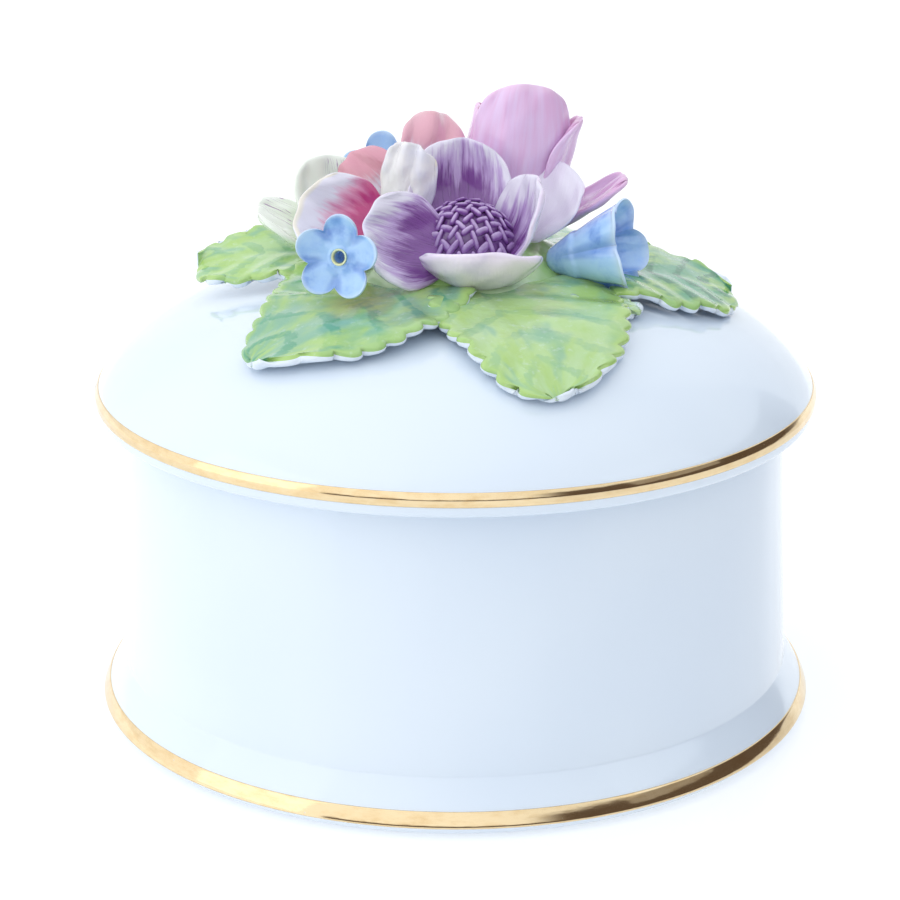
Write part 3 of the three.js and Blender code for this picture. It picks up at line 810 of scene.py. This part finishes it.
girth = boxed(np.sin(polar))
rod = np.stack([boxed(np.cos(polar)), girth * np.cos(around), girth * np.sin(around)], -1)
rod = rod.reshape(-1, 3) * ROD_HALF
swing = np.stack([np.cos(lean), np.sin(lean)], 1)
rods = np.empty((len(i), len(rod), 3))
rods[..., 0] = centre_x[:, None] + rod[:, 0] * swing[:, :1] - rod[:, 1] * swing[:, 1:]
rods[..., 1] = centre_y[:, None] + rod[:, 0] * swing[:, 1:] + rod[:, 1] * swing[:, :1]
radius_at = np.hypot(rods[..., 0], rods[..., 1])
rise_at = button_height(radius_at) + JITTER * jitter[3][:, None] + 0.25 * rod[:, 0] * jitter[1][:, None]
rods[..., 2] = rise_at + rod[:, 2]
hoops = np.arange(len(rod)).reshape(ROD_STEPS, -1)
hoops = np.concatenate([hoops, hoops[:, :1]], 1)
rod_quads = np.stack([hoops[:-1, :-1], hoops[:-1, 1:], hoops[1:, 1:], hoops[1:, :-1]], -1).reshape(-1, 4)
rod_faces = (rod_quads[None] + (np.arange(len(i)) * len(rod))[:, None, None]).reshape(-1, 4)
stamens = add_mesh("anemone_stamen_rods", rods.reshape(-1, 3), rod_faces)
store(stamens, "tip", np.broadcast_to(rod[:, 2] / ROD_HALF[2], (len(i), len(rod))))
button_frame = frame_on(BUTTON_AXIS)
for piece in (button, stamens):
    move_points(piece, points_of(piece) @ button_frame + BUTTON_FOOT)


def stamen_paint(name, tips):
    """Purple stain; painted shade blackens the rod feet and gaps, a painted highlight pales the tips."""
    material, tree, shader = new_material(name)
    place = node(tree, "TexCoord").outputs["Object"]
    blot = cloud(tree, place, 700, 3)
    colour = tint(tree, between(tree, blot, 0.35, 0.7), STAMEN_PURPLE, STAMEN_LILAC)
    if tips:
        # Painted light: the rods darken to near black towards their feet as shade, and pale towards their
        # tips as a highlight.
        top = calc(tree, "ADD", attribute(tree, "tip"), calc(tree, "MULTIPLY", blot, 0.8))
        colour = tint(tree, between(tree, top, -0.2, 0.5), ANEMONE_DARK_AND_SHADE, colour)
        colour = tint(tree, between(tree, top, 0.85, 1.5), colour, STAMEN_TIP_HIGHLIGHT)
    else:
        # Painted shade: the button, which shows only in the gaps between the rods, is darkened most of
        # the way to near black.
        colour = tint(tree, 0.6, colour, ANEMONE_DARK_AND_SHADE)
    tree.links.new(colour, shader.inputs["Base Color"])
    glaze_over(shader, 0.2, 0.5)
    raised(tree, shader, blot, 0.0002, 0.5)
    return material


button.data.materials.append(stamen_paint("stamen_gaps_painted_shade", False))
stamens.data.materials.append(stamen_paint("stamen_purple_painted_light", True))
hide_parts("anemone_boss")
for piece in (button, stamens):
    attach(piece, "lid")

# ------------------------------------------------------------------------------ forget-me-nots
# Three little blue trumpets, each pinched from one ball of clay into a tube with five round
# lobes. The mouth of the tube has a yellow ring.

FORGET_BLUE = (0.32, 0.54, 0.97)
FORGET_PALE = (0.42, 0.66, 0.99)
FORGET_DEEP_AND_SHADE = (0.10, 0.24, 0.68)
FORGET_RIM = (0.74, 0.86, 0.98)
FORGET_YELLOW = (0.80, 0.82, 0.46)
FORGET_YELLOW_GREEN = (0.72, 0.84, 0.55)
PINCHED_WALL = 0.75
EYE_TILT = 0.22
LOBES = 5
LOBE_CENTRE = 0.60
LOBE_ROUND = 0.40


def trumpet(name, mouth, facing, radius, depth, throat, flare, spin, body=0.0):
    """A tube that flares into five lobes, made as one closed profile carried round its axis.

    Where the profile is wide, its radius is scaled by the outline of five touching discs:
    c cos a + sqrt(q^2 - c^2 sin^2 a), for discs of radius q at a distance c from the middle.
    """
    wall = PINCHED_WALL
    dish = radius * flare
    inner = [[0, -throat * 2.6], [throat * 0.6, -throat * 2.4], [throat * 0.82, -throat * 0.8],
             [throat, 0.1], [throat * 1.25, 0.42], [throat * 1.6, 0.3], [radius * 0.5, dish * 0.22],
             [radius * 0.78, dish * 0.62], [radius * 0.97, dish]]
    outer = [[radius, dish - wall * 0.45], [radius * 0.94, dish - wall * 0.8],
             [radius * 0.72, dish * 0.45 - wall], [radius * 0.5, -wall * 0.9 - dish * 0.1],
             [throat + wall + body * 1.2, -wall - throat], [throat * 0.8 + 0.3 + body, -depth * 0.6],
             [throat * 0.7 + body * 0.5, -depth * 0.94], [0, -depth]]
    profile = rounded(inner + outer, 0.9, 5)[::-1]
    piece = turned(name, profile, steps=200)
    x, y, z = points_of(piece).T
    spread = np.hypot(x, y)
    angle = np.arctan2(y, x) - np.radians(spin)
    part = 2 * np.pi / LOBES
    off = (angle + part / 2) % part - part / 2
    chord = LOBE_ROUND**2 - (LOBE_CENTRE * np.sin(off)) ** 2
    disc = LOBE_CENTRE * np.cos(off) + np.sqrt(np.clip(chord, 0, 1))
    share = np.clip(spread / radius, 0, 1)
    scale = 1 + (disc - 1) * share**2.2
    cup = 0.35 * np.cos(off * LOBES) * share**2 - 0.10 * np.cos(2 * off * LOBES) * share**2
    wave = 0.25 * np.sin(2 * angle + spin) * share**2
    store(piece, "open", share)
    store(piece, "lobe", np.cos(off * LOBES))
    store(piece, "front", np.clip((z - (dish * share**2 - wall * 0.7)) / wall + 0.5, 0, 1))
    local = np.stack([x * scale, y * scale, z + cup + wave], 1)
    move_points(piece, local @ frame_on(facing) + np.array(mouth) + [0, 0, DOME_TOP])
    return piece


def forget_paint(name):
    """Sky blue in patches, with painted shade deepening the notches between the lobes; paler at the rims.
    """
    material, tree, shader = new_material(name)
    place = node(tree, "TexCoord").outputs["Object"]
    wide, lobe = attribute(tree, "open"), attribute(tree, "lobe")
    blot = cloud(tree, place, 260, 4, 0.6)
    colour = tint(tree, between(tree, blot, 0.38, 0.66), FORGET_PALE, FORGET_BLUE)
    # Painted shade: the blue deepens in the creases between the cupped lobes, on top of random deeper
    # patches.
    groove = calc(tree, "MULTIPLY", between(tree, lobe, 0.0, -0.9), between(tree, wide, 0.3, 0.6))
    load = calc(tree, "MULTIPLY", calc(tree, "ADD", groove, between(tree, blot, 0.5, 0.7)), 0.55)
    colour = tint(tree, load, colour, FORGET_DEEP_AND_SHADE)
    rim = calc(tree, "MULTIPLY", between(tree, wide, 0.86, 1.0), 0.55)
    colour = tint(tree, rim, colour, FORGET_RIM)
    tree.links.new(colour, shader.inputs["Base Color"])
    glaze_over(shader, 0.1)
    raised(tree, shader, cloud(tree, place, 420, 3), 0.0003, 0.5)
    return material


FORGET_ME_NOTS = {
    "forget_me_not_front": dict(
        mouth=(-12.8, -15.4, 6.7), facing=(-0.24, -0.95, 0.18), radius=4.9, depth=7.5,
        throat=0.8, flare=0.3, spin=14),
    "forget_me_not_right": dict(
        mouth=(15.4, -6.0, 4.6), facing=(0.92, -0.30, 0.24), radius=6.0, depth=5.4,
        throat=0.95, flare=0.78, spin=54, body=1.1),
    "forget_me_not_back": dict(
        mouth=(-8.6, 9.0, 10.2), facing=(-0.2, -0.75, 0.6), radius=5.0, depth=6.0,
        throat=1.2, flare=0.35, spin=97),
}
for flower_name, sizes in FORGET_ME_NOTS.items():
    flower = trumpet(flower_name + "_blue", **sizes)
    flower.data.materials.append(forget_paint(flower_name + "_glaze"))
    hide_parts(flower_name)
    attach(flower, "lid")
    bore = sizes["throat"]
    ring_profile = rounded([
        [bore * 0.78, 0.0],
        [bore, -0.1],
        [bore * 1.22, 0.2],
        [bore * 1.16, 0.46],
        [bore * 0.94, 0.40],
        [bore * 0.78, 0.0],
    ], 0.2, 4)
    ring = turned(flower_name + "_eye", ring_profile[:-1], closed=True, steps=64)
    eye = points_of(ring)
    eye[:, 2] += EYE_TILT * eye[:, 0]
    move_points(ring, eye @ frame_on(sizes["facing"]) + np.array(sizes["mouth"]) + [0, 0, DOME_TOP])
    yellow, tree, shader = new_material(flower_name + "_yellow")
    specks = cloud(tree, node(tree, "TexCoord").outputs["Object"], 900, 3)
    dab = tint(tree, between(tree, specks, 0.4, 0.65), FORGET_YELLOW, FORGET_YELLOW_GREEN)
    tree.links.new(dab, shader.inputs["Base Color"])
    glaze_over(shader, 0.12)
    raised(tree, shader, specks, 0.0002, 0.4)
    ring.data.materials.append(yellow)
    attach(ring, "lid")

# ------------------------------------------------------------------------------------- rosebud
# The tall bud at the back: petals folded one over another round a closed core, stained soft pink
# that deepens at the rims, with painted shade over the core and the inner faces of the petals.

ROSE_PALE = (0.82, 0.62, 0.90)
ROSE_PINK = (0.80, 0.50, 0.78)
ROSE_INNER_SHADE = (0.56, 0.17, 0.34)
ROSE_RIM = (0.86, 0.62, 0.76)
CORE_LEAN = (0.06, 0.02, 1)
CORE_HEIGHT = 13.8
ROSE_CORE = np.array([6.8, 9.6, 6.5 + DOME_TOP])

core_profile = rounded([
    [0, 0], [2.6, 0.6], [3.9, 3], [4.2, 6.5], [3.8, 10], [2.4, 12.8], [0, CORE_HEIGHT],
], 2.4, 8)
rose_core = turned("rose_core_folded", core_profile, steps=96)
folds = points_of(rose_core)
fold_turn = np.arctan2(folds[:, 1], folds[:, 0])
twist = (fold_turn / (2 * np.pi) * 2 + folds[:, 2] / 9) % 1
folds[:, :2] *= (1 + 0.10 * twist[:, None] ** 3)
folds = folds @ frame_on(CORE_LEAN) + ROSE_CORE
move_points(rose_core, folds)
store(rose_core, "along", np.clip((folds[:, 2] - ROSE_CORE[2]) / CORE_HEIGHT, 0, 1))
store(rose_core, "across", fold_turn / np.pi)
store(rose_core, "side", np.ones(len(folds)))


def rose_paint(name, flush=0.5, seed=0.0):
    """Soft pink with faint vertical brushwork; painted shade deepens the inner face, and the rim is
    deeper.
    """
    material, tree, shader = new_material(name)
    place = node(tree, "TexCoord").outputs["Object"]
    s = attribute(tree, "along")
    brushed = cloud(tree, brush_place(tree, 1.3, 7.0, seed), 1.0, 4, 0.6)
    soft = cloud(tree, place, 110, 2)
    load = calc(tree, "ADD", calc(tree, "MULTIPLY", brushed, 0.5), calc(tree, "MULTIPLY", soft, 0.5))
    colour = tint(tree, between(tree, load, 0.38, 0.62), ROSE_PALE, ROSE_PINK)
    # Painted shade: the inner face is darkened towards deep pink by the share given as flush.
    inside = between(tree, attribute(tree, "side"), -0.2, 0.6)
    deep = calc(tree, "MULTIPLY", inside, flush)
    colour = tint(tree, deep, colour, ROSE_INNER_SHADE)
    rim = calc(tree, "MULTIPLY", between(tree, s, 0.93, 1.0), 0.35)
    colour = tint(tree, rim, colour, ROSE_RIM)
    tree.links.new(colour, shader.inputs["Base Color"])
    glaze_over(shader, 0.2, 0.4)
    raised(tree, shader, load, 0.0003, 0.5)
    return material


# The core is given painted shade at a share of 0.6 all over.
rose_core.data.materials.append(rose_paint("rose_core_glaze", 0.6))
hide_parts("rose_core")
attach(rose_core, "lid")
# Each petal's flush is its share of painted shade on the inner face.
ROSE = {
    "rose_petal_front": dict(
        base=(7.1, 4.4, 5.5), heading=-84, rise=(72, 108), length=16.8, half_width=7.4, wrap=6.2,
        roll=-5, tip=0.72, ruffle=0.15),
    "rose_petal_left": dict(
        base=(1.4, 9.2, 5.5), heading=174, rise=(86, 106), length=13.4, half_width=5.0, wrap=6,
        tip=0.7, ruffle=0.2, brush=dict(flush=0.7)),
    "rose_petal_right": dict(
        base=(11.4, 7.6, 5.4), heading=-6, rise=(72, 84), length=12.4, half_width=5.4, wrap=6,
        tip=0.4, ruffle=0.2, turn_out=20, brush=dict(flush=0.3)),
    "rose_petal_back": dict(
        base=(7.2, 14.6, 5.5), heading=88, rise=(88, 104), length=14.4, half_width=5.0, wrap=6.4,
        tip=0.7, ruffle=0.2),
    "rose_petal_low": dict(
        base=(10.4, 3.6, 5.0), heading=4, rise=(22, 44), length=11.4, half_width=4.0, wrap=9,
        tip=0.45, ruffle=0.25, brush=dict(flush=0.15)),
}
make_petals(ROSE, rose_paint)

# -------------------------------------------------------------------------------- blush flower
# A ruffled white flower left of the anemone, its throat stained magenta. The rims of the petals
# are turned over and touched with salmon.

BLUSH_WHITE = (0.82, 0.80, 0.92)
BLUSH_CREAM = (0.86, 0.80, 0.66)
BLUSH_MAGENTA = (0.52, 0.04, 0.20)
BLUSH_SALMON = (0.72, 0.33, 0.42)
BLUSH_ROSE = (0.74, 0.30, 0.48)
BLUSH_BACK = (0.86, 0.84, 0.86)
BLUSH_BACK_SHADE = (0.76, 0.76, 0.88)
BLUSH_BACK_PINK = (0.82, 0.46, 0.56)


def blush_paint(name, amount=0.6, pink=0.0, streaks=1.3, seed=0.0):
    """Magenta pooled in the throat, running out in streaks to a white field and a cream rim."""
    material, tree, shader = new_material(name)
    place = node(tree, "TexCoord").outputs["Object"]
    s = attribute(tree, "along")
    streak = cloud(tree, brush_place(tree, 1.6, 8.0, seed), 1.0, 4, 0.65)
    load = calc(tree, "SUBTRACT", calc(tree, "MULTIPLY", streak, streaks), s)
    load = calc(tree, "ADD", load, amount)
    hem = calc(tree, "ADD", s, calc(tree, "MULTIPLY", streak, 0.4))
    hem = calc(tree, "MULTIPLY", between(tree, hem, 0.72, 0.95), pink)
    field = tint(tree, hem, BLUSH_WHITE, BLUSH_SALMON)
    colour = tint(tree, between(tree, load, 0.56, 0.80), field, BLUSH_ROSE)
    colour = tint(tree, between(tree, load, 0.72, 1.0), colour, BLUSH_MAGENTA)
    rim = calc(tree, "MULTIPLY", between(tree, s, 0.93, 0.985), 0.8)
    rim_colour = tuple((1 - pink) * c + pink * d for c, d in zip(BLUSH_CREAM, BLUSH_SALMON))
    colour = tint(tree, rim, colour, rim_colour)
    soft = cloud(tree, place, 260, 3)
    outside = tint(tree, between(tree, soft, 0.4, 0.7), BLUSH_BACK, BLUSH_BACK_SHADE)
    flush = calc(tree, "MULTIPLY", between(tree, streak, 0.35, 0.7), pink)
    outside = tint(tree, flush, outside, BLUSH_BACK_PINK)
    colour = tint(tree, between(tree, attribute(tree, "side"), 0.1, 0.8), outside, colour)
    tree.links.new(colour, shader.inputs["Base Color"])
    glaze_over(shader, 0.14, 0.5)
    raised(tree, shader, calc(tree, "ADD", streak, soft), 0.0003, 0.4)
    return material


BLUSH = {
    "blush_petal_left": dict(
        base=(-8.4, -5.4, 5.4), heading=150, rise=(24, 60), length=10.8, half_width=6.4, wrap=9,
        roll=-46, tip=0.82, ruffle=0.3, brush=dict(amount=1.13, streaks=0.45)),
    "blush_petal_inner": dict(
        base=(-6.6, -0.6, 7.0), heading=-118, rise=(82, 100), length=9.6, half_width=3.8, wrap=6,
        roll=-12, ruffle=0.5, brush=dict(amount=0.35)),
    "blush_petal_top": dict(
        base=(-4.6, 2.4, 6.8), heading=98, rise=(62, 84), length=12.4, half_width=4.8, wrap=8,
        roll=20, tip=0.86, ruffle=1.0, waves=2.4, turn_out=95, brush=dict(amount=0.3, pink=0.9)),
    "blush_petal_back": dict(
        base=(-5.0, 3.8, 5.8), heading=112, rise=(56, 84), length=10.4, half_width=4.4, wrap=7,
        roll=-40, ruffle=0.4, turn_out=60, brush=dict(amount=0.5, pink=1.0)),
}
make_petals(BLUSH, blush_paint)

# ------------------------------------------------------------------------------------ primrose
# Pale petals at the far left, ivory with a green heart, pencilled with a few mauve lines.

PRIMROSE_IVORY = (0.88, 0.92, 0.84)
PRIMROSE_GREEN = (0.62, 0.80, 0.42)
PRIMROSE_MAUVE = (0.36, 0.20, 0.40)


def primrose_paint(name, seed):
    """Ivory glaze over a green heart, with short mauve pen lines that run along the petal."""
    material, tree, shader = new_material(name)
    place = node(tree, "TexCoord").outputs["Object"]
    s = attribute(tree, "along")
    soft = cloud(tree, place, 140, 3)
    heart = calc(tree, "ADD", s, calc(tree, "MULTIPLY", soft, 0.5))
    colour = tint(tree, between(tree, heart, 0.35, 0.85), PRIMROSE_GREEN, PRIMROSE_IVORY)
    pen = cloud(tree, brush_place(tree, 1.0, 11.0, seed), 1.0, 1, 0.4)
    line = between(tree, calc(tree, "ABSOLUTE", calc(tree, "SUBTRACT", pen, 0.5)), 0.022, 0.006)
    line = calc(tree, "MULTIPLY", line, between(tree, s, 0.45, 0.6))
    line = calc(tree, "MULTIPLY", line, between(tree, s, 0.97, 0.92))
    line = calc(tree, "MULTIPLY", line, between(tree, attribute(tree, "side"), 0.5, 0.9))
    line = calc(tree, "MULTIPLY", line, between(tree, attribute(tree, "across"), 0.15, -0.1))
    colour = tint(tree, calc(tree, "MULTIPLY", line, 0.9), colour, PRIMROSE_MAUVE)
    tree.links.new(colour, shader.inputs["Base Color"])
    glaze_over(shader, 0.14, 0.5)
    raised(tree, shader, soft, 0.0003, 0.4)
    return material


PRIMROSE = {
    "primrose_petal_top": dict(
        base=(-13.6, 4.0, 4.6), heading=122, rise=(50, 80), length=9.4, half_width=5.6, wrap=9,
        tip=0.86, ruffle=0.15),
    "primrose_petal_left": dict(
        base=(-14.4, 2.2, 3.4), heading=176, rise=(16, 46), length=10.0, half_width=4.4, wrap=8,
        roll=-16, tip=0.5, ruffle=0.15),
    "primrose_petal_back": dict(
        base=(-12.0, 8.2, 4.6), heading=88, rise=(35, 65), length=8.6, half_width=4.2, wrap=9,
        ruffle=0.2),
}
make_petals(PRIMROSE, primrose_paint)

# ---------------------------------------------------------------------------- floor and backdrop
# A sheet of white paper that lies under the box and sweeps up behind it.

SWEEP_HALF = 900.0
SWEEP_BACK = 620.0
SWEEP_BEND = 260.0
SWEEP_FRONT = -1200.0
SWEEP_TOP = 1500.0
PAPER_WHITE = (0.65, 0.66, 0.67)
PAPER_GREY = (0.62, 0.635, 0.65)
PAPER_LIT = (0.97, 0.985, 1.0, 1)

bend_turn = np.linspace(0, np.pi / 2, 24)
bend_y = SWEEP_BACK + SWEEP_BEND * np.sin(bend_turn)
path_y = np.concatenate([[SWEEP_FRONT], bend_y, [SWEEP_BACK + SWEEP_BEND]])
path_z = np.concatenate([[0.0], SWEEP_BEND * (1 - np.cos(bend_turn)), [SWEEP_TOP]])
left_edge = np.stack([np.full_like(path_y, -SWEEP_HALF), path_y, path_z], 1)
right_edge = left_edge * [-1, 1, 1]
count = len(path_y)
index = np.arange(count - 1)
sweep_faces = np.stack([index, index + count, index + count + 1, index + 1], 1)
paper = add_mesh("paper_sweep", np.concatenate([left_edge, right_edge]), sweep_faces)
material, tree, shader = new_material("white_paper")
grain = cloud(tree, node(tree, "TexCoord").outputs["Object"], 12, 3)
white = tint(tree, between(tree, grain, 0.3, 0.7), PAPER_GREY, PAPER_WHITE)
tree.links.new(white, shader.inputs["Base Color"])
shader.inputs["Roughness"].default_value = 0.22
shader.inputs["Emission Color"].default_value = PAPER_LIT
shader.inputs["Emission Strength"].default_value = 0.42
paper.data.materials.append(material)

# -------------------------------------------------------------------------------- studio light
# A white light tent, brightest to the left, with weak soft panels overhead, to the left and to
# the right. The open front of the tent is a dim, warm room, which the gold reflects. Each edge
# of the room is the pair of bearings or heights, on a unit ball, that it fades between.

KEY_DIRECTION = (-0.80, -0.56, 0.08)
TENT_NEAR = (1.28, 1.30, 1.32)
TENT_FAR = (0.84, 0.88, 0.94)
ROOM_DIM = (0.13, 0.10, 0.085)
ROOM_FROM = (-0.72, -0.68)
ROOM_TO = (2.5, 2.1)
ROOM_TOP = (0.24, 0.20)
ROOM_TOP_RIGHT = (0.44, 0.38)
ROOM_STEP = (0.36, 0.62)
ROOM_FLOOR = (-0.2, -0.05)

world = bpy.data.worlds.new("light_tent")
bpy.context.scene.world = world
world.use_nodes = True
tent = world.node_tree
ray = node(tent, "TexCoord").outputs["Generated"]
direction = node(tent, "SeparateXYZ", None, _0=ray).outputs
azimuth = calc(tent, "ARCTAN2", direction[0], calc(tent, "MULTIPLY", direction[1], -1.0))
front = calc(tent, "MULTIPLY", between(tent, azimuth, *ROOM_FROM), between(tent, azimuth, *ROOM_TO))
right = between(tent, azimuth, *ROOM_STEP)
tall = calc(tent, "MULTIPLY", right, between(tent, direction[2], *ROOM_TOP_RIGHT))
height = calc(tent, "MAXIMUM", between(tent, direction[2], *ROOM_TOP), tall)
room = calc(tent, "MULTIPLY", front, height)
room = calc(tent, "MULTIPLY", room, between(tent, direction[2], *ROOM_FLOOR))
toward = node(tent, "VectorMath", {"operation": "DOT_PRODUCT"}, _0=ray, _1=KEY_DIRECTION).outputs["Value"]
cloth = tint(tent, between(tent, toward, -0.9, 1.0), TENT_FAR, TENT_NEAR)
tent_colour = tint(tent, room, cloth, ROOM_DIM)
tent.links.new(tent_colour, tent.nodes["Background"].inputs["Color"])
tent.nodes["Background"].inputs["Strength"].default_value = 1.0


def panel(name, place, aim, size, power, colour=(1.0, 1.0, 1.0)):
    """A soft square panel in millimetres that faces a point."""
    light = bpy.data.lights.new(name, "AREA")
    light.shape = "SQUARE"
    light.size = size * MM
    light.energy = power
    light.color = colour
    lamp = bpy.data.objects.new(name, light)
    bpy.context.scene.collection.objects.link(lamp)
    place, aim = Vector(place) * MM, Vector(aim) * MM
    lamp.location = place
    lamp.rotation_mode = "QUATERNION"
    lamp.rotation_quaternion = (aim - place).to_track_quat("-Z", "Y")


panel("panel_above", (-160, -80, 900), (0, 0, 20), 900, 0.35)
panel("panel_left", (-860, -380, 420), (0, 0, 30), 700, 0.6, (0.97, 0.985, 1.0))
panel("panel_right", (620, -220, 380), (0, 0, 40), 420, 0.15, (0.92, 0.96, 1.0))

# -------------------------------------------------------------------------------------- camera
# A short telephoto a little above the lid, looking slightly down.

CAMERA_PLACE = (-0.64, -310.1, 135.9)
CAMERA_AIM = (-0.64, 0.0, 30.0)
lens = bpy.data.cameras.new("studio_lens")
lens.sensor_width = 36
lens.lens = 110.5
lens.clip_start = 0.01
lens.clip_end = 20
camera = bpy.data.objects.new("studio_camera", lens)
bpy.context.scene.collection.objects.link(camera)
camera.location = Vector(CAMERA_PLACE) * MM
look = Vector(CAMERA_AIM) * MM - camera.location
turn = look.to_track_quat("-Z", "Y")
camera.rotation_mode = "QUATERNION"
camera.rotation_quaternion = turn
bpy.context.scene.camera = camera
bpy.context.scene.view_settings.view_transform = "Standard"
bpy.context.scene.view_settings.look = "None"
